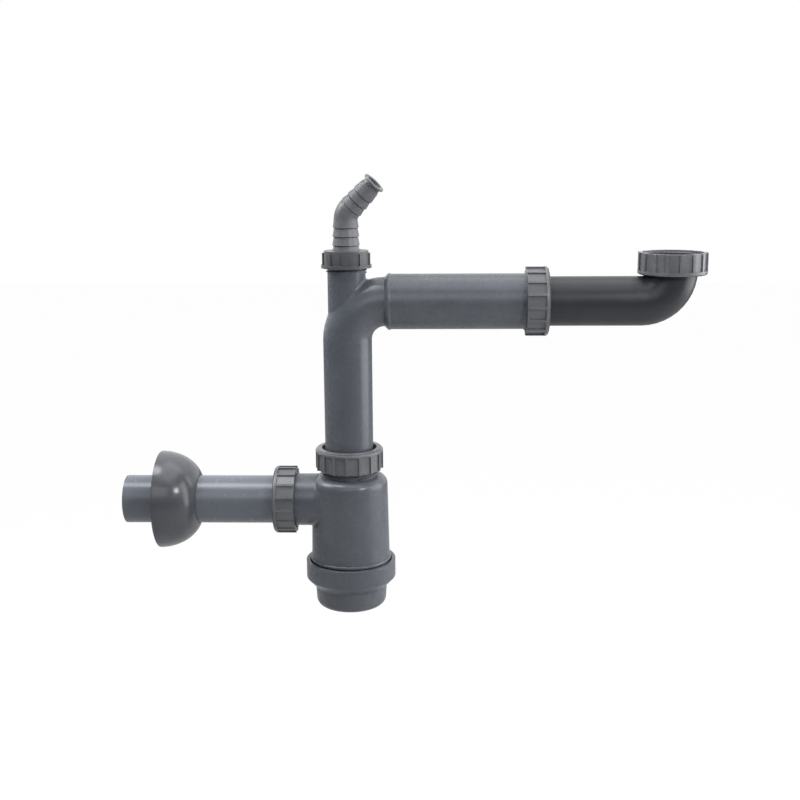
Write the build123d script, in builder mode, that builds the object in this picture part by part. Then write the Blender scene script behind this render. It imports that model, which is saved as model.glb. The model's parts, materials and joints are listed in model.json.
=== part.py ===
from build123d import *
import os
from math import cos, radians, sin, sqrt, tan

# Space-saving bottle trap for a sink, in millimetres.
# The origin is the middle of the inlet's sealing face, with +Z up and the arm running towards -X.

# Waste pipe and the clearances between pieces
pipe_r = 20.0               # outside radius of the waste pipe
pipe_wall = 2.0
socket_gap = 0.5            # between a pipe and the socket that it slides in
seal_gap = 0.3              # between a rubber seal and what moves past it
seat_gap = 0.2              # between faces that are screwed up against each other

# Pipe thread shared by the four large nuts, as plain cylinders at root and crest
thread_core_r = 22.5
nut_bore_r = 24.0

# Large nut
nut_r = 28.2
nut_h = 18.0
nut_lip_t = 3.0             # thickness of the closed end
nut_lip_r = 22.8            # opening in the closed end, wide of the pipe
nut_edge_r = 2.6            # rounding of the closed end
nut_panels = 16
nut_rib_w = 2.0             # rib left between two panels
nut_panel_depth = 1.0
nut_panel_margin = 3.4      # rim left above the panels at the closed end

# Slip ring and wedge seal of a compression joint
slip_t = 1.4
slip_gap = 0.4              # clearance round the slip ring inside the nut
seal_flange_t = 1.8
seal_overhang = 0.1         # how far the seal's flange stands over the socket's rim
seat_depth = 2.5            # cone in the socket's mouth
seat_rim_w = 0.9            # flat rim left outside the cone
seal_tip_w = 0.4

# Inlet: union nut, gasket and elbow
arm_reach = 262.0           # from the inlet's axis to the standpipe's axis
inlet_bend_r = 24.0
inlet_flange_r = 22.3
inlet_flange_t = 2.5
gasket_t = 3.0
gasket_rim = 0.6            # clearance round the gasket inside the nut
union_r = 28.8
union_h = 16.5
union_lip_gap = 0.6         # opening in the closed end, close round the pipe
union_edge_r = 1.6          # rounding of the closed end
union_relief = 0.4          # undercut round the gasket, below the thread
telescope_insert = 46.0     # length of the inlet pipe inside the arm's socket

# Standpipe with its arm socket, elbow, branch and drop pipe
arm_socket_reach = 156.2    # from the standpipe's axis to the socket's mouth
elbow_r = 31.0
socket_cone_len = 3.5
socket_ring_t = 0.5         # slight ring where the cone meets the socket
socket_ring_w = 1.4
branch_r = 15.5
branch_wall = 2.5
branch_rise = 35.3          # from the arm's axis to the branch's mouth
bottle_drop = 130.8         # from the arm's axis to the bottle's mouth
drop_insert = 34.0          # length of the drop pipe inside the bottle

# Hose nozzle with its nut and gasket
nozzle_turn = -12.0         # swivel of the nozzle at rest
nozzle_gasket_t = 1.5
nozzle_flange_r = 16.2
nozzle_flange_t = 2.0
nozzle_rise = 35.8          # from the branch's mouth to the corner of the nozzle's axes
nozzle_tail = 34.5          # from that corner to the tip
nozzle_bend = 45.0
nozzle_bend_r = 13.0
nozzle_base_r = 11.4
nozzle_mid_r = 10.2         # barb radius at the bend
nozzle_end_r = 8.8          # barb radius at the neck
nozzle_bore_base_r = 8.2
nozzle_bore_r = 6.25
nozzle_tip_r = 9.4
nozzle_tip_t = 1.6
nozzle_neck_r = 7.6
nozzle_neck_len = 3.4
barb_pitch = 7.0
barb_step = 0.6             # how far a barb's edge stands over the end of the one before
nozzle_nut_bore_r = 16.9
nozzle_nut_core_r = 18.1
nozzle_nut_r = 19.4
nozzle_nut_h = 13.7
nozzle_nut_lip_t = 2.0
nozzle_nut_ribs = 8
nozzle_nut_rib_w = 4.3
nozzle_nut_rim_h = 1.8      # plain rim above the ribs
nozzle_nut_foot_r = 20.5
nozzle_nut_foot_h = 2.5

# Bottle
bottle_neck_h = 15.2
bottle_top_r = 31.5
bottle_taper = 1.5          # how much wider the bottle is at its foot
bottle_h = 101.2            # from the mouth to the lower rim
bottle_wall = 2.2
bottle_shoulder_r = 7.5
bead_h = 3.0
bead_t = 1.2                # how far the bead stands out of the wall
dip_wall = 2.2
dip_h = 107.2               # from the mouth to the dip tube's end
outlet_drop = 36.7          # from the mouth to the outlet's axis
outlet_reach = 56.2         # from the bottle's axis to the outlet's mouth
outlet_neck_r = 21.8
outlet_collar_w = 11.7      # thread core of the outlet
outlet_stop_w = 1.0         # from the bottle's wall at its foot to the outlet pipe's stop
outlet_throat_r = 18.0

# Cup and its seal
cup_ring_top = 88.2         # from the bottle's mouth down to the ring
cup_ring_h = 15.0
cup_ring_gap = 0.4          # between the bottle's bead and the cup's ring
cup_ring_wall = 3.2
cup_ring_edge_r = 1.2
cup_cone_h = 8.0
cup_inset = 2.7             # how much narrower the cup is than the bottle's foot
cup_taper = 1.1             # how much narrower the cup is at its foot
cup_h = 40.0                # from the ring's top to the cup's bottom
cup_corner_r = 6.0
cup_wall = 2.4
cup_foot_recess = 0.8
cup_foot_rim = 6.0
cup_seal_t = 2.2
cup_seal_in = 0.8           # how far the seal reaches inside the bottle's rim

# Outlet pipe and rosette
outlet_end_gap = 0.3        # between the outlet pipe's end and its stop
outlet_pipe_len = 154.7
wall_insert = 30.0          # length that goes into the wall's socket, up to the depth mark
depth_mark_w = 1.0
depth_mark_t = 0.5
rosette_reach = 160.0       # from the bottle's axis to the rosette's rim
rosette_r = 40.75
rosette_depth = 34.0
rosette_centre_r = 14.0     # radius at which the dome's elliptical section is centred
rosette_wall = 2.0
rosette_sleeve = 6.0

# Places worked out from the sizes above
inlet_leg = inlet_flange_t + seat_gap + nut_lip_t
slip_r = nut_bore_r - slip_gap
seal_flange_r = thread_core_r + seal_overhang
seat_r = thread_core_r - seat_rim_w
arm_z = -(gasket_t + inlet_leg + inlet_bend_r)
trap_x = -arm_reach
arm_mouth_x = trap_x + arm_socket_reach
socket_r = pipe_r + socket_gap
bottle_z = arm_z - bottle_drop
outlet_z = bottle_z - outlet_drop
bottle_foot_r = bottle_top_r + bottle_taper
bead_r = bottle_foot_r + bead_t
cup_ring_bore_r = bead_r + cup_ring_gap
cup_ring_r = cup_ring_bore_r + cup_ring_wall
cup_top_r = bottle_foot_r - cup_inset
cup_foot_r = cup_top_r - cup_taper
outlet_stop_x = bottle_foot_r + outlet_stop_w
outlet_insert = outlet_reach - outlet_stop_x - outlet_end_gap

# One frame for each joint, its z axis pointing out of the mouth
union_mouth = Plane(origin=(0, 0, -gasket_t - inlet_leg), x_dir=(1, 0, 0), z_dir=(0, 0, -1))
telescope_mouth = Plane(origin=(arm_mouth_x, 0, arm_z), x_dir=(0, 0, 1), z_dir=(1, 0, 0))
branch_mouth = Plane(origin=(trap_x, 0, arm_z + branch_rise))
bottle_mouth = Plane(origin=(trap_x, 0, bottle_z))
outlet_mouth = Plane(origin=(trap_x - outlet_reach, 0, outlet_z), x_dir=(0, 0, 1), z_dir=(-1, 0, 0))


def side_of(mouth):
    """The plane for a joint's half section: local x is the radius, local y runs out of the mouth."""
    return Plane(origin=mouth.origin, x_dir=mouth.x_dir, z_dir=-mouth.y_dir)


def axis_of(mouth):
    return Axis(mouth.origin, mouth.z_dir)


def ring_section(inner, outer, low, high):
    """A rectangular half section, as a washer or a plain tube has."""
    with BuildSketch() as section:
        with Locations(((inner + outer) / 2, (low + high) / 2)):
            Rectangle(outer - inner, high - low)
    return section.sketch


def nut_section(outer, bore, lip_bore, top, height, edge):
    """Half section of a nut whose closed end lies at height top."""
    with BuildSketch() as section:
        with BuildLine():
            Polyline(
                (bore, top - height),
                (outer, top - height),
                (outer, top),
                (lip_bore, top),
                (lip_bore, top - nut_lip_t),
                (bore, top - nut_lip_t),
                close=True,
            )
        make_face()
        closed_edge = section.vertices().sort_by(Axis.Y).group_by(Axis.Y)[-1].sort_by(Axis.X)[-1]
        fillet(closed_edge, edge)
    return section.sketch


def seal_section():
    """Half section of the wedge seal: a cone that sits in the socket's mouth, and a flange on its rim."""
    slope = (seat_r - socket_r) / seat_depth
    shift = seal_gap * sqrt(1 + slope**2)
    inner = pipe_r + seal_gap
    low = (inner + seal_tip_w + shift - seat_r) / slope
    with BuildSketch() as section:
        with BuildLine():
            Polyline(
                (inner, low),
                (inner + seal_tip_w, low),
                (seat_r - shift, 0),
                (seat_r - shift, seat_gap),
                (seal_flange_r, seat_gap),
                (seal_flange_r, seat_gap + seal_flange_t),
                (inner, seat_gap + seal_flange_t),
                close=True,
            )
        make_face()
    return section.sketch


def seat_section():
    """The cone cut into a socket's mouth."""
    with BuildSketch() as section:
        with BuildLine():
            Polyline((0, -seat_depth), (socket_r, -seat_depth), (seat_r, 0), (0, 0), close=True)
        make_face()
    return section.sketch


# Heights of the stacked rings over a socket's mouth
slip_low = seat_gap + seal_flange_t + seat_gap
nut_top = slip_low + slip_t + seat_gap + nut_lip_t
panel_w = 2 * (nut_r - nut_panel_depth) * tan(radians(180 / nut_panels)) - nut_rib_w


def panel_box(outer, top, height):
    """Width, length and height above the mouth of the flat panels sunk in a nut's wall."""
    length = height - nut_panel_margin
    return outer - nut_panel_depth, top - nut_panel_margin - length / 2, length


# Union nut: screws the inlet to the sink's waste fitting
with BuildPart(union_mouth) as union_nut:
    with BuildSketch(side_of(union_mouth)):
        add(nut_section(union_r, nut_bore_r, pipe_r + union_lip_gap, 0, union_h, union_edge_r))
        add(ring_section(nut_bore_r, nut_bore_r + union_relief, -gasket_t - inlet_leg, -nut_lip_t),
            mode=Mode.SUBTRACT)
    revolve(axis=axis_of(union_mouth))
    floor_r, panel_mid, panel_len = panel_box(union_r, 0, union_h)
    with Locations((0, 0, panel_mid)):
        with PolarLocations(floor_r + nut_r / 2, nut_panels, start_angle=180 / nut_panels):
            Box(nut_r, panel_w, panel_len, mode=Mode.SUBTRACT)
union_nut.part.label = "union_nut"

# Flat gasket on the inlet's flange
with BuildPart() as inlet_gasket:
    with BuildSketch():
        Circle(nut_bore_r - gasket_rim)
        Circle(pipe_r - pipe_wall, mode=Mode.SUBTRACT)
    extrude(amount=-gasket_t)
inlet_gasket.part.label = "inlet_gasket"

# Inlet elbow: a flanged mouth, a tight bend and the pipe that slides in the arm
inlet_pipe_end = arm_mouth_x - telescope_insert
with BuildPart() as inlet_elbow:
    with BuildLine() as inlet_path:
        FilletPolyline(
            (0, 0, -gasket_t),
            (0, 0, arm_z),
            (inlet_pipe_end, 0, arm_z),
            radius=inlet_bend_r,
        )
    with BuildSketch(Plane((0, 0, -gasket_t), z_dir=(0, 0, -1))):
        Circle(pipe_r)
    sweep(path=inlet_path.wires()[0])
    with BuildSketch(Plane.XY.offset(-gasket_t)):
        Circle(inlet_flange_r)
    extrude(amount=-inlet_flange_t)
    with BuildSketch(Plane((0, 0, -gasket_t), z_dir=(0, 0, -1))):
        Circle(pipe_r - pipe_wall)
    sweep(path=inlet_path.wires()[0], mode=Mode.SUBTRACT)
inlet_elbow.part.label = "inlet_elbow"


def large_nut(mouth, name):
    """The nut of a compression joint: 16 flat panels between ribs, and a rounded closed end."""
    with BuildPart(mouth) as nut:
        with BuildSketch(side_of(mouth)):
            add(nut_section(nut_r, nut_bore_r, nut_lip_r, nut_top, nut_h, nut_edge_r))
        revolve(axis=axis_of(mouth))
        floor_r, panel_mid, panel_len = panel_box(nut_r, nut_top, nut_h)
        with Locations((0, 0, panel_mid)):
            with PolarLocations(floor_r + nut_r / 2, nut_panels, start_angle=180 / nut_panels):
                Box(nut_r, panel_w, panel_len, mode=Mode.SUBTRACT)
    nut.part.label = name
    return nut


def slip_ring(mouth, name):
    """The thin ring that lets a nut turn without dragging the seal."""
    with BuildPart() as ring:
        with BuildSketch(side_of(mouth)):
            add(ring_section(pipe_r + seal_gap, slip_r, slip_low, slip_low + slip_t))
        revolve(axis=axis_of(mouth))
    ring.part.label = name
    return ring


def wedge_seal(mouth, name):
    with BuildPart() as seal:
        with BuildSketch(side_of(mouth)):
            add(seal_section())
        revolve(axis=axis_of(mouth))
    seal.part.label = name
    return seal


# The three compression joints: arm, bottle and outlet
telescope_nut = large_nut(telescope_mouth, "telescope_nut")
telescope_slip_ring = slip_ring(telescope_mouth, "telescope_slip_ring")
telescope_seal = wedge_seal(telescope_mouth, "telescope_seal")
bottle_nut = large_nut(bottle_mouth, "bottle_nut")
bottle_slip_ring = slip_ring(bottle_mouth, "bottle_slip_ring")
bottle_seal = wedge_seal(bottle_mouth, "bottle_seal")
outlet_nut = large_nut(outlet_mouth, "outlet_nut")
outlet_slip_ring = slip_ring(outlet_mouth, "outlet_slip_ring")
outlet_seal = wedge_seal(outlet_mouth, "outlet_seal")

# Standpipe: one moulding with the drop pipe, the elbow and the hose branch
elbow_x = trap_x + elbow_r
socket_x = elbow_x + socket_cone_len
drop_z = bottle_z - drop_insert
branch_root = arm_z - elbow_r / 2
branch_len = branch_mouth.origin.Z - branch_root
with BuildPart() as standpipe:
    with BuildLine(Plane.XZ) as drop_path:
        drop = Line((trap_x, drop_z), (trap_x, arm_z - elbow_r))
        JernArc(start=drop @ 1, tangent=drop % 1, radius=elbow_r, arc_size=-90)
    with BuildSketch(Plane((trap_x, 0, drop_z))):
        Circle(pipe_r)
    sweep(path=drop_path.wires()[0])
    with BuildSketch(Plane((trap_x, 0, branch_root))):
        Circle(branch_r)
    extrude(amount=branch_len)
    with BuildSketch(Plane((trap_x, 0, drop_z))):
        Circle(pipe_r - pipe_wall)
    sweep(path=drop_path.wires()[0], mode=Mode.SUBTRACT)
    with BuildSketch(Plane((trap_x, 0, branch_root))):
        Circle(branch_r - branch_wall)
    extrude(amount=branch_len, mode=Mode.SUBTRACT)
standpipe.part.label = "standpipe"

# Arm socket: a wide tube welded to the elbow, with a cone and a slight ring at the weld
with BuildPart() as arm_socket:
    with BuildSketch(Plane.XZ):
        with BuildLine():
            Polyline(
                (elbow_x, arm_z + pipe_r - pipe_wall),
                (elbow_x, arm_z + pipe_r),
                (socket_x - socket_ring_w / 2, arm_z + thread_core_r + socket_ring_t),
                (socket_x + socket_ring_w / 2, arm_z + thread_core_r + socket_ring_t),
                (socket_x + socket_ring_w, arm_z + thread_core_r),
                (arm_mouth_x, arm_z + thread_core_r),
                (arm_mouth_x, arm_z + seat_r),
                (arm_mouth_x - seat_depth, arm_z + socket_r),
                (socket_x + pipe_wall, arm_z + socket_r),
                (socket_x + pipe_wall, arm_z + pipe_r - pipe_wall),
                close=True,
            )
        make_face()
    revolve(axis=axis_of(telescope_mouth))
arm_socket.part.label = "arm_socket"

# Gasket on the branch's mouth
nozzle_flange_low = seat_gap + nozzle_gasket_t + seat_gap
with BuildPart() as nozzle_gasket:
    with BuildSketch(side_of(branch_mouth)):
        add(ring_section(branch_r - branch_wall, nozzle_flange_r, seat_gap, seat_gap + nozzle_gasket_t))
    revolve(axis=axis_of(branch_mouth))
nozzle_gasket.part.label = "nozzle_gasket"

# Nozzle nut: eight broad ribs over a plain core, with a foot ring
nozzle_nut_top = nozzle_flange_low + nozzle_flange_t + seat_gap + nozzle_nut_lip_t
nozzle_nut_low = nozzle_nut_top - nozzle_nut_h
with BuildPart(branch_mouth) as nozzle_nut:
    with BuildSketch(side_of(branch_mouth)):
        add(ring_section(nozzle_nut_bore_r, nozzle_nut_core_r, nozzle_nut_low, nozzle_nut_top))
        add(ring_section(nozzle_nut_bore_r, nozzle_nut_foot_r, nozzle_nut_low,
                         nozzle_nut_low + nozzle_nut_foot_h))
        add(ring_section(nozzle_base_r + seal_gap, nozzle_nut_core_r,
                         nozzle_nut_top - nozzle_nut_lip_t, nozzle_nut_top))
    revolve(axis=axis_of(branch_mouth))
    rib_h = nozzle_nut_h - nozzle_nut_rim_h
    with BuildSketch(Plane(branch_mouth.origin + (0, 0, nozzle_nut_low))):
        with PolarLocations((nozzle_nut_bore_r + nozzle_nut_r) / 2, nozzle_nut_ribs):
            Rectangle(nozzle_nut_r - nozzle_nut_bore_r, nozzle_nut_rib_w)
        Circle(nozzle_nut_bore_r, mode=Mode.SUBTRACT)
    extrude(amount=rib_h)
nozzle_nut.part.label = "nozzle_nut"


def barb_section(foot, end, length, first):
    """Half section of a tapered hose tail whose sawtooth barbs narrow towards its end."""
    count = int((length - first) / barb_pitch)
    taper = (foot - end) / length
    outline = [(0, 0), (foot, 0)]
    for step in range(count + 1):
        height = first + step * barb_pitch
        edge = foot - taper * height
        outline += [(edge - barb_step, height), (edge, height)]
    outline += [(end - barb_step, length), (0, length)]
    with BuildSketch() as section:
        with BuildLine():
            Polyline(*outline, close=True)
        make_face()
    return section.sketch


# Hose nozzle: barbed base, a tight bend and a barbed tail with a flanged tip
bend_leg = nozzle_bend_r * tan(radians(nozzle_bend / 2))
base_foot = nozzle_flange_low + nozzle_flange_t
base_len = nozzle_rise - bend_leg - base_foot
tail_len = nozzle_tail - bend_leg - nozzle_tip_t - nozzle_neck_len
nozzle_plane = branch_mouth.rotated((0, 0, nozzle_turn))
tail_dir = nozzle_plane.x_dir * sin(radians(nozzle_bend)) + nozzle_plane.z_dir * cos(radians(nozzle_bend))
nozzle_corner = branch_mouth.origin + Vector(0, 0, nozzle_rise)
tail_plane = Plane(nozzle_corner + tail_dir * bend_leg, x_dir=nozzle_plane.y_dir, z_dir=tail_dir)
base_plane = Plane(branch_mouth.origin + Vector(0, 0, base_foot), x_dir=nozzle_plane.x_dir)
with BuildPart() as hose_nozzle:
    with BuildSketch(side_of(branch_mouth)):
        add(ring_section(0, nozzle_flange_r, nozzle_flange_low, base_foot))
    revolve(axis=axis_of(branch_mouth))
    with BuildSketch(side_of(base_plane)):
        add(barb_section(nozzle_base_r, nozzle_mid_r, base_len, barb_pitch - nozzle_nut_lip_t))
    revolve(axis=axis_of(base_plane))
    with BuildLine() as bore_path:
        FilletPolyline(
            branch_mouth.origin + Vector(0, 0, nozzle_flange_low),
            nozzle_corner,
            nozzle_corner + tail_dir * nozzle_tail,
            radius=nozzle_bend_r,
        )
    with BuildLine() as bend_path:
        FilletPolyline(
            nozzle_corner - Vector(0, 0, bend_leg + barb_step),
            nozzle_corner,
            nozzle_corner + tail_dir * (bend_leg + barb_step),
            radius=nozzle_bend_r,
        )
    with BuildSketch(Plane(nozzle_corner - Vector(0, 0, bend_leg + barb_step))):
        Circle(nozzle_mid_r - barb_step)
    sweep(path=bend_path.wires()[0])
    with BuildSketch(side_of(tail_plane)):
        add(barb_section(nozzle_mid_r - barb_step, nozzle_end_r, tail_len, barb_pitch / 2))
        add(ring_section(0, nozzle_neck_r, tail_len, tail_len + nozzle_neck_len))
        add(ring_section(0, nozzle_tip_r, tail_len + nozzle_neck_len, nozzle_tail - bend_leg))
    revolve(axis=axis_of(tail_plane))
    with BuildSketch(Plane(branch_mouth.origin + Vector(0, 0, nozzle_flange_low))):
        Circle(nozzle_bore_r)
    sweep(path=bore_path.wires()[0], mode=Mode.SUBTRACT)
    with BuildSketch(Plane(branch_mouth.origin + Vector(0, 0, nozzle_flange_low))):
        Circle(nozzle_bore_base_r)
    extrude(amount=base_foot + base_len - nozzle_flange_low, mode=Mode.SUBTRACT)
hose_nozzle.part.label = "hose_nozzle"

# Bottle: neck, shoulder, tapered wall and the outlet socket
shoulder_y = -bottle_neck_h
foot_y = -bottle_h
bead_y = -cup_ring_top + bead_h / 2
with BuildPart() as bottle_body:
    with BuildSketch(side_of(bottle_mouth)):
        with BuildLine():
            Polyline(
                (socket_r, 0),
                (thread_core_r, 0),
                (thread_core_r, shoulder_y),
                (bottle_top_r, shoulder_y),
                (bottle_foot_r, bead_y),
                (bottle_foot_r, foot_y),
                (bottle_foot_r - bottle_wall, foot_y),
                (bottle_foot_r - bottle_wall, bead_y),
                (bottle_top_r - bottle_wall, shoulder_y - bottle_wall),
                (socket_r, shoulder_y - bottle_wall),
                close=True,
            )
        bottle_face = make_face()
        outer_corner = bottle_face.vertices().sort_by_distance((bottle_top_r, shoulder_y, 0))[0]
        inner_corner = bottle_face.vertices().sort_by_distance(
            (bottle_top_r - bottle_wall, shoulder_y - bottle_wall, 0))[0]
        fillet(outer_corner, bottle_shoulder_r)
        fillet(inner_corner, bottle_shoulder_r - bottle_wall)
        with Locations((bottle_foot_r, bead_y)):
            Ellipse(bead_r - bottle_foot_r, bead_h / 2)
    revolve(axis=axis_of(bottle_mouth))
    with BuildSketch(Plane.YZ.offset(trap_x - outlet_reach)):
        with Locations((0, outlet_z)):
            Circle(outlet_neck_r)
    extrude(amount=outlet_reach - bottle_top_r + 2 * bottle_wall)
    with BuildSketch(Plane.YZ.offset(trap_x - outlet_reach)):
        with Locations((0, outlet_z)):
            Circle(thread_core_r)
    extrude(amount=outlet_collar_w)
    with BuildSketch(side_of(bottle_mouth)):
        add(seat_section())
    revolve(axis=axis_of(bottle_mouth), mode=Mode.SUBTRACT)
    with BuildSketch(Plane.YZ.offset(trap_x - outlet_reach)):
        with Locations((0, outlet_z)):
            Circle(socket_r)
    extrude(amount=outlet_reach - outlet_stop_x, mode=Mode.SUBTRACT)
    with BuildSketch(Plane.YZ.offset(trap_x - outlet_reach)):
        with Locations((0, outlet_z)):
            Circle(outlet_throat_r)
    extrude(amount=outlet_reach - socket_r - dip_wall - bottle_wall, mode=Mode.SUBTRACT)
    with BuildSketch(side_of(outlet_mouth)):
        add(seat_section())
    revolve(axis=axis_of(outlet_mouth), mode=Mode.SUBTRACT)
bottle_body.part.label = "bottle_body"

# Dip tube, welded under the bottle's shoulder: the drop pipe slides in it
with BuildPart() as dip_tube:
    with BuildSketch(side_of(bottle_mouth)):
        add(ring_section(socket_r, socket_r + dip_wall, -dip_h, shoulder_y - bottle_wall))
    revolve(axis=axis_of(bottle_mouth))
dip_tube.part.label = "dip_tube"

# Ring seal between the bottle's lower rim and the cup's ledge
cup_seal_y = foot_y - seat_gap - cup_seal_t
with BuildPart() as cup_seal:
    with BuildSketch(side_of(bottle_mouth)):
        add(ring_section(bottle_foot_r - bottle_wall - cup_seal_in, cup_ring_bore_r - seal_gap,
                         cup_seal_y, cup_seal_y + cup_seal_t))
    revolve(axis=axis_of(bottle_mouth))
cup_seal.part.label = "cup_seal"

# Cup: a plain screw ring, a cone and a tapered cup with a rounded foot
ring_y = -cup_ring_top
ledge_y = cup_seal_y - seat_gap
cup_y = ring_y - cup_h
with BuildPart() as cup:
    with BuildSketch(side_of(bottle_mouth)):
        with BuildLine():
            Polyline(
                (cup_ring_bore_r, ring_y),
                (cup_ring_r, ring_y),
                (cup_ring_r, ring_y - cup_ring_h),
                (cup_top_r, ring_y - cup_ring_h - cup_cone_h),
                (cup_foot_r, cup_y),
                (0, cup_y),
                (0, cup_y + cup_wall),
                (cup_foot_r - cup_wall, cup_y + cup_wall),
                (cup_top_r - cup_wall, ledge_y),
                (cup_ring_bore_r, ledge_y),
                close=True,
            )
        cup_face = make_face()
        foot_corner = cup_face.vertices().sort_by_distance((cup_foot_r, cup_y, 0))[0]
        floor_corner = cup_face.vertices().sort_by_distance(
            (cup_foot_r - cup_wall, cup_y + cup_wall, 0))[0]
        top_corner = cup_face.vertices().sort_by_distance((cup_ring_r, ring_y, 0))[0]
        ring_corner = cup_face.vertices().sort_by_distance((cup_ring_r, ring_y - cup_ring_h, 0))[0]
        fillet(foot_corner, cup_corner_r)
        fillet(floor_corner, cup_corner_r - cup_wall)
        fillet((top_corner, ring_corner), cup_ring_edge_r)
    revolve(axis=axis_of(bottle_mouth))
    with BuildSketch(side_of(bottle_mouth)):
        add(ring_section(0, cup_foot_r - cup_corner_r - cup_foot_rim, cup_y, cup_y + cup_foot_recess))
    revolve(axis=axis_of(bottle_mouth), mode=Mode.SUBTRACT)
cup.part.label = "cup"

# Outlet pipe, with a scored ring that marks how far it goes into the wall
outlet_end = outlet_pipe_len - outlet_insert
mark_high = outlet_end - wall_insert
with BuildPart() as outlet_pipe:
    with BuildSketch(side_of(outlet_mouth)):
        add(ring_section(pipe_r - pipe_wall, pipe_r, -outlet_insert, outlet_end))
        add(ring_section(pipe_r - depth_mark_t, pipe_r, mark_high - depth_mark_w, mark_high),
            mode=Mode.SUBTRACT)
    revolve(axis=axis_of(outlet_mouth))
outlet_pipe.part.label = "outlet_pipe"

# Rosette: a domed cover whose section is an elliptical arc, with a short sleeve on the pipe
rosette_rim = Plane(origin=(trap_x - rosette_reach, 0, outlet_z), x_dir=(0, 0, 1), z_dir=(1, 0, 0))
sleeve_r = pipe_r + seal_gap


def dome_section(depth, rise):
    """Quarter of an ellipse round the rosette's centre radius, down to the axis."""
    with BuildSketch() as section:
        with BuildLine():
            EllipticalCenterArc((rosette_centre_r, 0), rise, depth, 0, arc_size=90)
            Polyline((rosette_centre_r, depth), (0, depth), (0, 0), (rosette_centre_r + rise, 0))
        make_face()
    return section.sketch


with BuildPart() as rosette:
    with BuildSketch(side_of(rosette_rim)):
        add(dome_section(rosette_depth, rosette_r - rosette_centre_r))
        add(dome_section(rosette_depth - rosette_wall, rosette_r - rosette_centre_r - rosette_wall),
            mode=Mode.SUBTRACT)
        add(ring_section(sleeve_r, sleeve_r + rosette_wall, rosette_depth - rosette_wall - rosette_sleeve,
                         rosette_depth - rosette_wall))
        add(ring_section(0, sleeve_r, 0, rosette_depth), mode=Mode.SUBTRACT)
    revolve(axis=axis_of(rosette_rim))
rosette.part.label = "rosette"

pieces = (
    union_nut,
    inlet_gasket,
    inlet_elbow,
    telescope_nut,
    telescope_slip_ring,
    telescope_seal,
    standpipe,
    arm_socket,
    nozzle_gasket,
    nozzle_nut,
    hose_nozzle,
    bottle_nut,
    bottle_slip_ring,
    bottle_seal,
    bottle_body,
    dip_tube,
    cup_seal,
    cup,
    outlet_nut,
    outlet_slip_ring,
    outlet_seal,
    outlet_pipe,
    rosette,
)
os.makedirs("parts", exist_ok=True)
for piece in pieces:
    export_step(piece.part, f"parts/{piece.part.label}.step")
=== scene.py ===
import json
from math import atan2, cos, pi, radians, sin, sqrt, tan

import bmesh
import bpy
from mathutils import Matrix, Vector


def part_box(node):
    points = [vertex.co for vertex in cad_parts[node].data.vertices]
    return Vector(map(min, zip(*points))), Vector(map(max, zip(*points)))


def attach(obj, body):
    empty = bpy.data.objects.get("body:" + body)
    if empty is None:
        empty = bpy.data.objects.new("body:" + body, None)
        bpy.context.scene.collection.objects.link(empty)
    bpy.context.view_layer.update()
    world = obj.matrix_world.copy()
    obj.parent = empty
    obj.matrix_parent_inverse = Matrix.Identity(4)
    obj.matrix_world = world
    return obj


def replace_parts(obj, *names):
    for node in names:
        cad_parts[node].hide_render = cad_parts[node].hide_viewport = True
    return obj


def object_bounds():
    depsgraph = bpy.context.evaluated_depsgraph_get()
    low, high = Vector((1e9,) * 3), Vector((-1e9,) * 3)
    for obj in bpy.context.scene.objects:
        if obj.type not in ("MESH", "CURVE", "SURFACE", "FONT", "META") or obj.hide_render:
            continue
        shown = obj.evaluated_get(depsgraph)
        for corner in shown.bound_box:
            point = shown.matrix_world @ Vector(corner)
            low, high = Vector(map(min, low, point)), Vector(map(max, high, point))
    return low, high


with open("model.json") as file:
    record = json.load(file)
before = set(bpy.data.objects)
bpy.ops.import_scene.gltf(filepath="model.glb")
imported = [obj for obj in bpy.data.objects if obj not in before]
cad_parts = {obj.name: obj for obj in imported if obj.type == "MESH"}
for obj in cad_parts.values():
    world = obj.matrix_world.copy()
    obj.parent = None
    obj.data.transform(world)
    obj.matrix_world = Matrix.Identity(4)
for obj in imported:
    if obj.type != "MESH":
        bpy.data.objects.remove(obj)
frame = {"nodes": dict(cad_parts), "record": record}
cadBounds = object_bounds()
mm = 0.001
nodes = frame["nodes"]
bodyOf = {node: body for body, members in frame["record"]["behaviour"]["bodies"].items() for node in members}
slotOf = {part["node"]: part["material_slot"] for part in frame["record"]["subparts"]}
print("frame loaded,", len(nodes), "nodes")


# shader maths
class Wire:
    def __init__(self, paint, socket):
        self.paint = paint
        self.socket = socket

    def work(self, kind, first, second):
        return self.paint.add("ShaderNodeMath", {"operation": kind}, {0: first, 1: second})

    def __add__(self, other):
        return self.work("ADD", self, other)

    def __sub__(self, other):
        return self.work("SUBTRACT", self, other)

    def __rsub__(self, other):
        return self.work("SUBTRACT", other, self)

    def __mul__(self, other):
        return self.work("MULTIPLY", self, other)

    __radd__ = __add__
    __rmul__ = __mul__


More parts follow.
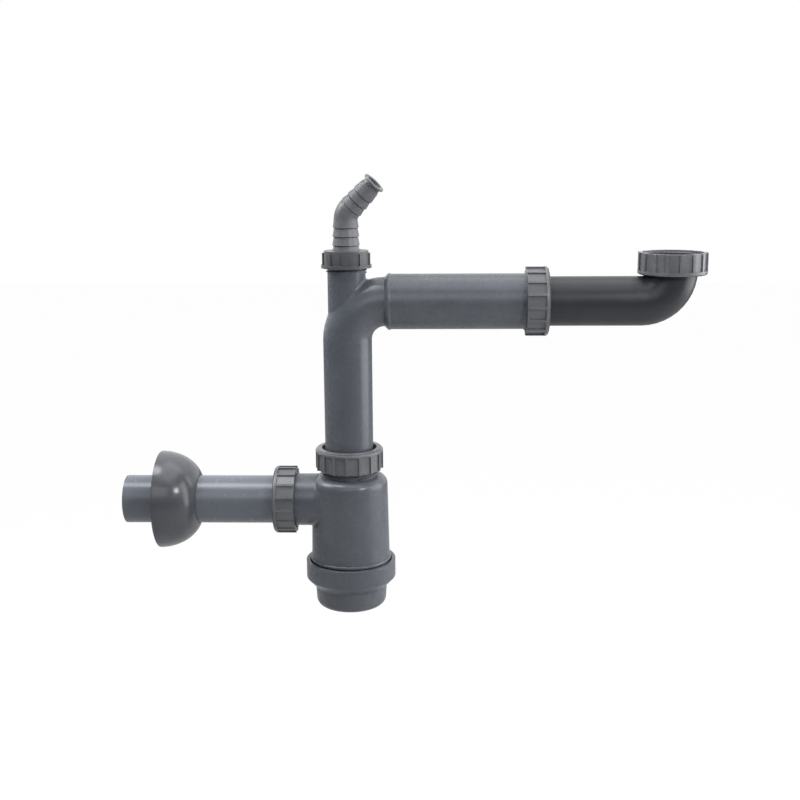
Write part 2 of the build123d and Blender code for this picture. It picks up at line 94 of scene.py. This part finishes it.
class Paint:
    def __init__(self, canvas):                     # a material or the world
        canvas.use_nodes = True
        self.tree = canvas.node_tree
        self.tree.nodes.clear()

    def add(self, kind, settings=None, sockets=None, out=0):
        node = self.tree.nodes.new(kind)
        for key, value in (settings or {}).items():
            setattr(node, key, value)
        for key, value in (sockets or {}).items():
            if isinstance(value, Wire):
                self.tree.links.new(value.socket, node.inputs[key])
            else:
                node.inputs[key].default_value = value
        return Wire(self, node.outputs[out]) if node.outputs else None

    def mix(self, mask, first, second):             # two colours
        return self.add("ShaderNodeMix", {"data_type": "RGBA"}, {0: mask, 6: first, 7: second}, 2)

    def noise(self, place, scale, detail, rough):
        return self.add("ShaderNodeTexNoise", None,
                        {"Vector": place, "Scale": scale, "Detail": detail, "Roughness": rough})

    def spread(self, value, low, high, start=0.0, end=1.0):
        return self.add("ShaderNodeMapRange", {"interpolation_type": "SMOOTHSTEP"},
                        {0: value, 1: low, 2: high, 3: start, 4: end})


def rgb(colour):
    return (*colour, 1.0)


# plastics
plasticLooks = {
    "body": {"dark": (0.102, 0.114, 0.134), "pale": (0.119, 0.132, 0.153), "rough": 0.30, "swing": 0.06,
             "grain": 700.0, "bump": 0.08, "coat": 0.0, "streak": (1, 1, 1)},
    "pipe": {"dark": (0.158, 0.174, 0.206), "pale": (0.178, 0.196, 0.230), "rough": 0.27, "swing": 0.05,
             "grain": 500.0, "bump": 0.05, "coat": 0.0, "streak": (0.3, 1, 1)},
    "nut": {"dark": (0.140, 0.146, 0.158), "pale": (0.170, 0.176, 0.190), "rough": 0.30, "swing": 0.08,
            "grain": 800.0, "bump": 0.12, "coat": 0.0, "streak": (1, 1, 1)},
    "elbow": {"dark": (0.025, 0.027, 0.032), "pale": (0.034, 0.036, 0.043), "rough": 0.38, "swing": 0.10,
              "grain": 900.0, "bump": 0.05, "coat": 0.0, "streak": (0.3, 1, 1)},
    "rosette": {"dark": (0.084, 0.089, 0.102), "pale": (0.099, 0.105, 0.120), "rough": 0.24, "swing": 0.04,
                "grain": 600.0, "bump": 0.03, "coat": 0.15, "streak": (1, 1, 1)},
    "smallNut": {"dark": (0.100, 0.105, 0.115), "pale": (0.125, 0.130, 0.141), "rough": 0.32, "swing": 0.08,
                 "grain": 800.0, "bump": 0.12, "coat": 0.0, "streak": (1, 1, 1)},
    "nozzle": {"dark": (0.142, 0.146, 0.160), "pale": (0.172, 0.176, 0.191), "rough": 0.42, "swing": 0.06,
               "grain": 700.0, "bump": 0.08, "coat": 0.0, "streak": (1, 1, 1)},
    "slip": {"dark": (0.28, 0.29, 0.31), "pale": (0.32, 0.33, 0.35), "rough": 0.40, "swing": 0.05,
             "grain": 900.0, "bump": 0.03, "coat": 0.0, "streak": (1, 1, 1)},
    "rubber": {"dark": (0.018, 0.018, 0.019), "pale": (0.026, 0.026, 0.028), "rough": 0.62, "swing": 0.08,
               "grain": 800.0, "bump": 0.12, "coat": 0.0, "streak": (1, 1, 1)},
}
# what all plastics share: a noise is (scale, detail, roughness), edges are (low, high), the relief is in mm
moulded = {
    "cloud": (38.0, 4.0, 0.55), "cloudEdges": (0.35, 0.68),
    "fleck": (420.0, 2.0, 0.6), "fleckEdges": (0.62, 0.78), "fleckShare": 0.35, "fleckTone": 0.6,
    "rub": (90.0, 5.0, 0.62), "rubEdges": (0.48, 0.72),
    "peel": (130.0, 1.0, 0.4), "peelShare": 0.6, "grainDetail": (1.0, 0.5), "reliefDepth": 0.2,
    "ior": 1.49, "coatRough": 0.18,
}


def plastic(name, look):
    material = bpy.data.materials.new(name)
    paint = Paint(material)
    place = paint.add("ShaderNodeTexCoord", None, None, "Object")
    drawn = paint.add("ShaderNodeMapping", None, {"Vector": place, "Scale": look["streak"]})
    # pigment that flowed in the mould, with darker specks of regrind
    cloud = paint.spread(paint.noise(drawn, *moulded["cloud"]), *moulded["cloudEdges"])
    fleck = paint.spread(paint.noise(drawn, *moulded["fleck"]), *moulded["fleckEdges"])
    tone = paint.mix(cloud, rgb(look["dark"]), rgb(look["pale"]))
    speck = rgb([moulded["fleckTone"] * part for part in look["dark"]])
    tone = paint.mix(fleck * moulded["fleckShare"], tone, speck)
    # faint rub marks from handling
    rub = paint.spread(paint.noise(place, *moulded["rub"]), *moulded["rubEdges"])
    rough = rub * look["swing"] + look["rough"] - look["swing"] / 2
    grain = paint.noise(drawn, look["grain"], *moulded["grainDetail"])
    peel = paint.noise(drawn, *moulded["peel"])
    relief = grain * (1 - moulded["peelShare"]) + peel * moulded["peelShare"]
    normal = paint.add("ShaderNodeBump", None, {
        "Height": relief, "Strength": look["bump"], "Distance": moulded["reliefDepth"] * mm}, "Normal")
    shader = paint.add("ShaderNodeBsdfPrincipled", None, {
        "Base Color": tone, "Roughness": rough, "Normal": normal, "IOR": moulded["ior"],
        "Coat Weight": look["coat"], "Coat Roughness": moulded["coatRough"]})
    paint.add("ShaderNodeOutputMaterial", None, {"Surface": shader})
    return material


finishes = {key: plastic("sealRubber" if key == "rubber" else key + "Plastic", look)
            for key, look in plasticLooks.items()}
finishOfSlot = {
    "nut_plastic": "nut", "seal_rubber": "rubber", "elbow_plastic": "elbow", "slip_plastic": "slip",
    "body_plastic": "body", "nozzle_plastic": "nozzle", "pipe_plastic": "pipe", "rosette_plastic": "rosette",
}


def finishOf(node):                                 # the branch's nut comes from a darker batch
    return finishes["smallNut" if node == "nozzle_nut" else finishOfSlot[slotOf[node]]]


for node, thing in nodes.items():
    if not thing.material_slots:
        thing.data.materials.append(finishOf(node))
    for slot in thing.material_slots:
        slot.material = finishOf(node)
print("materials ready")


# making pieces
def makeNodePiece(name, bm, node, corner=34):       # finished and carried as the node is, smooth up to corner
    for face in bm.faces:
        face.smooth = True
    for edge in bm.edges:
        edge.smooth = len(edge.link_faces) == 2 and edge.calc_face_angle(0) < radians(corner)
    mesh = bpy.data.meshes.new(name)
    bm.to_mesh(mesh)
    bm.free()
    mesh.materials.append(finishOf(node))
    piece = bpy.data.objects.new(name, mesh)
    bpy.context.scene.collection.objects.link(piece)
    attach(piece, bodyOf[node])
    return piece


# where things are, in metres
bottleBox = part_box("bottle_body")
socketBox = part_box("arm_socket")
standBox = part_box("standpipe")
pipeR = 20.0                                        # mm
trapX = standBox[0].x + pipeR * mm
armZ = (socketBox[0].z + socketBox[1].z) / 2
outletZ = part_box("outlet_pipe")[0].z + pipeR * mm
mouthZ = bottleBox[1].z

# mouldings never have knife edges, so each one gets its corners broken: (width in mm, sharpest angle kept)
brokenEdges = {
    "union_nut": (0.24, 20), "telescope_nut": (0.24, 20), "bottle_nut": (0.24, 20), "outlet_nut": (0.24, 20),
    "nozzle_nut": (0.25, 25), "standpipe": (0.7, 30), "arm_socket": (0.30, 24),
    "bottle_body": (0.4, 30), "cup": (0.35, 30), "outlet_pipe": (0.4, 30), "rosette": (0.45, 30),
    "inlet_elbow": (0.5, 30),
}
dressing = {"merge": 0.004, "flat": 0.6, "roundings": 3}    # mm, degrees, segments

# the large nuts: a point on the axis in metres, the turn in degrees and the panels' radius in mm
largeNuts = {
    "union_nut": {"middle": (0, 0, 0), "axis": "Z", "turn": 3.0, "panelR": 27.75},
    "telescope_nut": {"middle": (0, 0, armZ), "axis": "X", "turn": 5.0, "panelR": 27.15},
    "bottle_nut": {"middle": (trapX, 0, 0), "axis": "Z", "turn": 0.0, "panelR": 27.15},
    "outlet_nut": {"middle": (0, 0, outletZ), "axis": "X", "turn": 4.0, "panelR": 27.15},
}
nutShape = {                                        # mm
    "panelBand": 0.45, "panelSink": 0.6, "bottleLooser": 2.31,
    "wallR": 25, "collarZ": -5, "skirtZ": -7.5, "rimZ": 4,
    "unionSlimmer": 1.1, "unionLonger": 2.5, "unionLower": 1.6,
}


def shapeNut(bm, node):
    nut, shape = largeNuts[node], nutShape
    for vert in bm.verts:
        away = vert.co - Vector(nut["middle"])
        away["XYZ".index(nut["axis"])] = 0
        radius = away.length / mm
        if 0 <= radius - nut["panelR"] <= shape["panelBand"]:   # panels a little deeper between their ribs
            vert.co -= away.normalized() * shape["panelSink"] * mm
        if node == "union_nut":
            outside = radius > shape["wallR"]
            if outside:
                vert.co -= away.normalized() * shape["unionSlimmer"] * mm
            if vert.co.z < shape["skirtZ"] * mm or outside and vert.co.z < shape["collarZ"] * mm:
                vert.co.z -= shape["unionLonger"] * mm
            if vert.co.z > shape["rimZ"] * mm:
                vert.co.z -= shape["unionLower"] * mm
        if node == "bottle_nut":
            vert.co.z += shape["bottleLooser"] * mm


def breakEdges(node, width, angle):
    bm = bmesh.new()
    bm.from_mesh(nodes[node].data)
    bmesh.ops.remove_doubles(bm, verts=bm.verts, dist=dressing["merge"] * mm)
    bmesh.ops.dissolve_limit(bm, angle_limit=radians(dressing["flat"]), verts=bm.verts, edges=bm.edges,
                             use_dissolve_boundaries=False)
    if node in largeNuts:
        shapeNut(bm, node)
    sharp = [edge for edge in bm.edges
             if len(edge.link_faces) == 2 and edge.calc_face_angle(0) > radians(angle)]
    bmesh.ops.bevel(bm, geom=sharp, offset=width * mm, offset_type="OFFSET", affect="EDGES",
                    segments=dressing["roundings"], profile=0.5, material=-1, clamp_overlap=True)
    if node in largeNuts:
        nut = largeNuts[node]
        turned = Matrix.Rotation(radians(nut["turn"]), 3, nut["axis"])
        bmesh.ops.rotate(bm, verts=bm.verts, cent=nut["middle"], matrix=turned)
    words = node.split("_")
    name = words[0] + "".join(word.capitalize() for word in words[1:]) + "Moulding"
    piece = makeNodePiece(name, bm, node)
    evened = piece.modifiers.new("evenNormals", "WEIGHTED_NORMAL")
    evened.keep_sharp = True
    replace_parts(piece, node)


for node, (width, angle) in brokenEdges.items():
    breakEdges(node, width, angle)
print("mouldings dressed")


# the soft webs where the outlet's neck and the hose branch grow out of their tubes, in mm
bottleForm = {"topR": 31.5, "footR": 33.0, "shoulder": 15.2, "foot": 86.7, "roundness": 7.5}
elbowForm = {"bendR": 31.0, "tubeR": pipeR}
outletWeb = {
    "node": "bottle_body", "neckR": 21.8, "size": 4.2, "rows": 7, "steps": 96, "sink": 0.04,
    "upperEnd": 0.80, "upperFade": 0.45, "upperLeast": 0.02,
    "lowerEnd": 0.95, "lowerFade": 0.7, "lowerLeast": 0.35,
}
branchWeb = {"node": "standpipe", "neckR": 15.5, "size": 2.6, "rows": 6, "steps": 80, "sink": 0.04,
             "backFrom": -0.6, "backSize": 0.5}


def besideOutlet(turn, reach, off):                 # a place off the bottle's wall, round the outlet's axis
    form = bottleForm
    y, z = reach * mm * cos(turn), outletZ + reach * mm * sin(turn)
    down = (mouthZ - z) / mm - form["shoulder"]
    taper = (form["footR"] - form["topR"]) / (form["foot"] - form["shoulder"])
    radius = form["topR"] + taper * max(down, 0)
    if down < form["roundness"]:
        lift = min(form["roundness"] - down, form["roundness"])
        radius += sqrt(form["roundness"] ** 2 - lift ** 2) - form["roundness"]
    return Vector((trapX - sqrt(max((radius * mm) ** 2 - y ** 2, 0)) - off * mm, y, z))


def aboveElbow(turn, reach, off):                   # a place above the elbow's back, round the branch's axis
    form = elbowForm
    x, y = reach * cos(turn), reach * sin(turn)
    outer = form["bendR"] + sqrt(form["tubeR"] ** 2 - y ** 2)
    height = sqrt(outer ** 2 - (x - form["bendR"]) ** 2) - form["bendR"] + off
    return Vector((trapX + x * mm, y * mm, armZ + height * mm))


def outletWebSize(turn):                            # runs out under the shoulder, and is tighter below
    web = outletWeb
    upper = min(1.0, max(web["upperLeast"], (web["upperEnd"] - sin(turn)) / web["upperFade"]))
    lower = min(1.0, max(0.0, (sin(turn) + web["lowerEnd"]) / web["lowerFade"]))
    return upper * (web["lowerLeast"] + (1 - web["lowerLeast"]) * lower)


def branchWebSize(turn):                            # tighter at the outer side of the bend
    return 1.0 if cos(turn) > branchWeb["backFrom"] else branchWeb["backSize"]


def growWeb(name, web, place, sizeAt):
    bm = bmesh.new()
    rings = []
    for row in range(web["rows"]):
        ring = bmesh.ops.create_circle(bm, segments=web["steps"], radius=1, cap_ends=False)["verts"]
        swing = pi / 2 * row / (web["rows"] - 1)
        for vert in ring:
            turn = atan2(vert.co.y, vert.co.x)
            size = web["size"] * sizeAt(turn)
            reach, off = web["neckR"] + size * (1 - cos(swing)), size * (1 - sin(swing)) - web["sink"]
            vert.co = place(turn, reach, off)
        rings.append({edge for vert in ring for edge in vert.link_edges})
    for near, far in zip(rings, rings[1:]):
        bmesh.ops.bridge_loops(bm, edges=list(near | far))
    bmesh.ops.recalc_face_normals(bm, faces=bm.faces)
    middle = place(0, 0, 0)
    if sum(face.normal.dot(face.calc_center_median() - middle) for face in bm.faces) < 0:
        bmesh.ops.reverse_faces(bm, faces=bm.faces)
    makeNodePiece(name, bm, web["node"])


growWeb("outletWeb", outletWeb, besideOutlet, outletWebSize)
growWeb("branchWeb", branchWeb, aboveElbow, branchWebSize)
print("webs grown")


# hose nozzle: a straight barbed tube is spun, then laid along the bent line
# in mm and degrees, a flange is (from, to, radius), the neck and the tip are (place on the tail, radius)
nozzle = {
    "turn": -12.0, "rise": 35.8, "bend": 45.0, "bendR": 13.0, "tail": 34.5, "around": 64, "bendRings": 8,
    "flange": (1.9, 3.9, 16.2), "footR": 11.4, "midR": 10.2, "endR": 8.8, "boreR": 6.25, "wideBoreR": 8.2,
    "lip": 0.95, "lipSlope": 0.15, "lipFace": 0.08, "groove": 0.45, "grooveH": 0.7, "soft": 0.18,
    "baseLips": (10.3, 17.3, 24.3), "tailLips": (1.6, 8.4, 15.2), "neck": (24.1, 7.6), "tip": (27.5, 9.4),
    "waist": 0.55, "endWaist": 0.6, "boreEnd": 1.0, "step": 1.6,
}
bendLeg = nozzle["bendR"] * tan(radians(nozzle["bend"]) / 2)
bendStart = nozzle["rise"] - bendLeg
bendLength = nozzle["bendR"] * radians(nozzle["bend"])


def nozzleLine(along):                              # the frame on the bent line, mm from the branch's mouth
    look = nozzle
    turn = min(max(along - bendStart, 0.0) / look["bendR"], radians(look["bend"]))
    x, z = look["bendR"] * (1 - cos(turn)), min(along, bendStart) + look["bendR"] * sin(turn)
    past = max(along - bendStart - bendLength, 0.0)
    place = Matrix.Translation((x + past * sin(turn), 0, z + past * cos(turn)))
    return (Matrix.Translation((trapX, 0, standBox[1].z)) @ Matrix.Scale(mm, 4)
            @ Matrix.Rotation(radians(look["turn"]), 4, "Z") @ place @ Matrix.Rotation(turn, 4, "Y"))


def barbs(start, end, startR, endR, lips):          # each length widens towards the lip at its lower end
    look = nozzle
    places = []
    for lip in lips:
        edge = startR + (endR - startR) * (lip - start) / (end - start)
        places += [(lip - look["grooveH"], edge - look["lip"] + look["lipSlope"]),
                   (lip - look["lipFace"], edge - look["lip"] - look["groove"]),
                   (lip, edge - look["soft"]), (lip + look["soft"], edge)]
    return places


def nozzleOutline():                                # (place along, radius), up the outside and down the bore
    look = nozzle
    soft, boreR = look["soft"], look["boreR"]
    low, high, wide = look["flange"]
    neck, neckR = look["neck"]
    tip, tipR = look["tip"]
    tail = bendStart + bendLength
    end = look["tail"] - bendLeg
    outline = [(low, look["wideBoreR"]), (low, wide - soft), (low + soft, wide), (high - soft, wide),
               (high, wide - soft), (high, look["footR"])]
    outline += barbs(high, bendStart, look["footR"], look["midR"], look["baseLips"])
    shares = [ring / look["bendRings"] for ring in range(look["bendRings"] + 1)]
    waistR = look["midR"] - look["lip"] * look["waist"]
    outline += [(bendStart + bendLength * share, waistR) for share in shares]
    outline += [(tail + place, radius) for place, radius in
                barbs(0.0, neck, look["midR"], look["endR"], look["tailLips"])]
    outline += [(tail + neck - soft, look["endR"] - look["lip"] * look["endWaist"]), (tail + neck, neckR),
                (tail + tip, neckR), (tail + tip, tipR - soft), (tail + tip + soft, tipR),
                (tail + end - soft, tipR), (tail + end, tipR - soft), (tail + end, boreR + soft),
                (tail + end - soft, boreR)]
    outline += [(bendStart + bendLength * share, boreR) for share in reversed(shares)]
    return outline + [(bendStart - look["boreEnd"], boreR), (bendStart - look["step"], look["wideBoreR"])]


def makeNozzle():
    bm = bmesh.new()
    outline = [bm.verts.new((radius, 0, along)) for along, radius in nozzleOutline()]
    for near, far in zip(outline, outline[1:] + outline[:1]):
        bm.edges.new((near, far))
    bmesh.ops.spin(bm, geom=bm.verts[:] + bm.edges[:], cent=(0, 0, 0), axis=(0, 0, 1), angle=2 * pi,
                   steps=nozzle["around"], use_merge=True)
    bmesh.ops.recalc_face_normals(bm, faces=bm.faces)
    for vert in bm.verts:
        vert.co = nozzleLine(vert.co.z) @ Vector((vert.co.x, vert.co.y, 0))
    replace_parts(makeNodePiece("hoseNozzleBarbed", bm, "hose_nozzle", corner=30), "hose_nozzle")


makeNozzle()
print("hose nozzle made")


# threads, in mm: core and crest radii, and where each starts and ends along its axis
pitch = 2.309
unmoved = Matrix.Translation((0, 0, 0))
trapMouth = Matrix.Translation((trapX, 0, mouthZ))
outletMouth = Matrix.Translation((bottleBox[0].x, 0, outletZ)) @ Matrix.Rotation(-pi / 2, 4, "Y")
armMouth = Matrix.Translation((socketBox[1].x, 0, armZ)) @ Matrix.Rotation(pi / 2, 4, "Y")
branchMouth = Matrix.Translation((trapX, 0, standBox[1].z))
threads = {
    "bottleThread": {"node": "bottle_body", "place": trapMouth, "core": 22.4, "crest": 23.6, "pitch": pitch,
                     "start": -14.0, "end": -1.6, "facets": 40},
    "outletThread": {"node": "bottle_body", "place": outletMouth, "core": 22.4, "crest": 23.6, "pitch": pitch,
                     "start": -11.0, "end": -1.6, "facets": 40},
    "armThread": {"node": "arm_socket", "place": armMouth, "core": 22.4, "crest": 23.6, "pitch": pitch,
                  "start": -12.4, "end": -1.6, "facets": 40},
    "branchThread": {"node": "standpipe", "place": branchMouth, "core": 15.4, "crest": 16.6, "pitch": pitch,
                     "start": -11.6, "end": -1.4, "facets": 32},
    "unionThread": {"node": "union_nut", "place": unmoved, "core": 24.1, "crest": 23.0, "pitch": pitch,
                    "start": 1.2, "end": 5.2, "facets": 40},
    # the thread's coarse end, which shows under the bottle's nut
    "neckStop": {"node": "bottle_body", "place": trapMouth @ Matrix.Rotation(radians(-66), 4, "Z"),
                 "core": 22.3, "crest": 23.9, "pitch": 12.5, "half": 0.9, "start": -14.1, "end": -11.6,
                 "facets": 96},
}
threadForm = {"half": 0.36, "crest": 0.3, "runOut": 0.3, "fade": 0.35}      # shares of the pitch, or of half


def helix(name, look):
    bm = bmesh.new()
    core, crest = look["core"] * mm, look["crest"] * mm
    half = look.get("half", look["pitch"] * threadForm["half"]) * mm
    outline = [(core, -half), (crest, -half * threadForm["crest"]), (crest, half * threadForm["crest"]),
               (core, half)]
    corners = [bm.verts.new((radius, 0, height)) for radius, height in outline]
    bm.faces.new(corners)
    turns = (look["end"] - look["start"]) / look["pitch"]
    bmesh.ops.spin(bm, geom=bm.verts[:] + bm.edges[:] + bm.faces[:], cent=(0, 0, 0), axis=(0, 0, 1),
                   dvec=(0, 0, look["pitch"] * mm / look["facets"]), angle=turns * 2 * pi,
                   steps=int(turns * look["facets"]))
    for vert in bm.verts:                           # the thread runs out at both ends
        along = vert.co.z / (look["pitch"] * mm)
        nearEnd = min(along, turns - along) + threadForm["runOut"]
        fade = min(1.0, max(0.0, nearEnd / threadForm["fade"]))
        radius = Vector((vert.co.x, vert.co.y)).length
        wanted = core + (radius - core) * fade
        vert.co.x *= wanted / radius
        vert.co.y *= wanted / radius
    bmesh.ops.recalc_face_normals(bm, faces=bm.faces)
    bmesh.ops.translate(bm, verts=bm.verts, vec=(0, 0, look["start"] * mm))
    bmesh.ops.transform(bm, matrix=look["place"], verts=bm.verts)
    makeNodePiece(name, bm, look["node"])


for name, look in threads.items():
    helix(name, look)
print("threads cut")


# floor and world: white to the camera, a pale floor and a white wall behind for everything else
studio = {
    "floorSize": 4.0, "floorX": -0.22, "floorDrop": 0.16, "floorColour": (0.46, 0.46, 0.46),
    "white": 1.02, "whiteShare": 0.96, "frontGlow": 0.06, "backGlow": 0.95, "wallEdges": (-0.15, 0.55),
}
bm = bmesh.new()
bmesh.ops.create_grid(bm, x_segments=1, y_segments=1, size=studio["floorSize"])
bmesh.ops.translate(bm, verts=bm.verts, vec=(studio["floorX"], 0, cadBounds[0][2] - studio["floorDrop"]))
floorMesh = bpy.data.meshes.new("floor")
bm.to_mesh(floorMesh)
bm.free()
floor = bpy.data.objects.new("floor", floorMesh)
bpy.context.scene.collection.objects.link(floor)
paleFloor = bpy.data.materials.new("paleFloor")
paint = Paint(paleFloor)
seen = paint.add("ShaderNodeLightPath", None, None, "Is Camera Ray")
matt = paint.add("ShaderNodeBsdfDiffuse", None, {"Color": rgb(studio["floorColour"])})
white = paint.add("ShaderNodeEmission", None, {"Color": (1, 1, 1, 1), "Strength": studio["white"]})
surface = paint.add("ShaderNodeMixShader", None, {0: seen * studio["whiteShare"], 1: matt, 2: white})
paint.add("ShaderNodeOutputMaterial", None, {"Surface": surface})
floorMesh.materials.append(paleFloor)

world = bpy.data.worlds.new("studioWorld")
bpy.context.scene.world = world
sky = Paint(world)
seen = sky.add("ShaderNodeLightPath", None, None, "Is Camera Ray")
direction = sky.add("ShaderNodeTexCoord", None, None, "Generated")
towardsWall = sky.add("ShaderNodeSeparateXYZ", None, {0: direction}, "Y")
glow = sky.spread(towardsWall, *studio["wallEdges"], studio["frontGlow"], studio["backGlow"])
level = seen + (1 - seen) * glow
backdrop = sky.add("ShaderNodeBackground", None, {"Color": (1, 1, 1, 1), "Strength": level})
sky.add("ShaderNodeOutputWorld", None, {"Surface": backdrop})

# soft boxes
lamps = {
    "topBox": {"place": (-0.05, -0.05, 0.95), "aim": (-0.20, 0.0, -0.10), "size": (1.2, 0.9), "watts": 5.1},
    "topLeftBox": {"place": (-0.58, -0.07, 0.75), "aim": (-0.42, 0.0, -0.20), "size": (0.36, 0.30),
                   "watts": 2.7},
    "frontBox": {"place": (-0.30, -1.25, 0.60), "aim": (-0.22, 0.0, -0.10), "size": (1.0, 0.6), "watts": 2.7},
    "rightBox": {"place": (0.80, 0.02, 0.10), "aim": (-0.24, 0.0, -0.10), "size": (0.9, 1.1), "watts": 9.5},
    "rightSpot": {"place": (0.28, -0.52, 0.27), "aim": (-0.36, 0.0, -0.18), "size": (0.15, 0.15),
                  "watts": 1.9},
    "leftBox": {"place": (-0.92, 0.05, 0.45), "aim": (-0.28, 0.0, -0.14), "size": (0.50, 0.40),
                "watts": 4.6},
}
for name, lamp in lamps.items():
    data = bpy.data.lights.new(name, "AREA")
    data.shape = "RECTANGLE"
    data.size, data.size_y = lamp["size"]
    data.energy = lamp["watts"]
    light = bpy.data.objects.new(name, data)
    light.location = lamp["place"]
    towards = Vector(lamp["aim"]) - Vector(lamp["place"])
    light.rotation_euler = towards.to_track_quat("-Z", "Y").to_euler()
    bpy.context.scene.collection.objects.link(light)

# camera: metres, degrees and millimetres, worked out from the ellipses of the round parts
view = {"place": (-0.1875, -0.9304, 0.0833), "down": 12.0, "right": -1.96, "roll": -0.40, "lens": 51.75,
        "sensor": 36.0}
cameraData = bpy.data.cameras.new("photoCamera")
cameraData.lens = view["lens"]
cameraData.sensor_width = view["sensor"]
camera = bpy.data.objects.new("photoCamera", cameraData)
turned = (Matrix.Rotation(radians(-view["right"]), 4, "Z")
          @ Matrix.Rotation(radians(90 - view["down"]), 4, "X")
          @ Matrix.Rotation(radians(view["roll"]), 4, "Z"))
camera.matrix_world = Matrix.Translation(view["place"]) @ turned
bpy.context.scene.collection.objects.link(camera)
bpy.context.scene.camera = camera
bpy.context.scene.view_settings.view_transform = "Standard"
print("studio set")
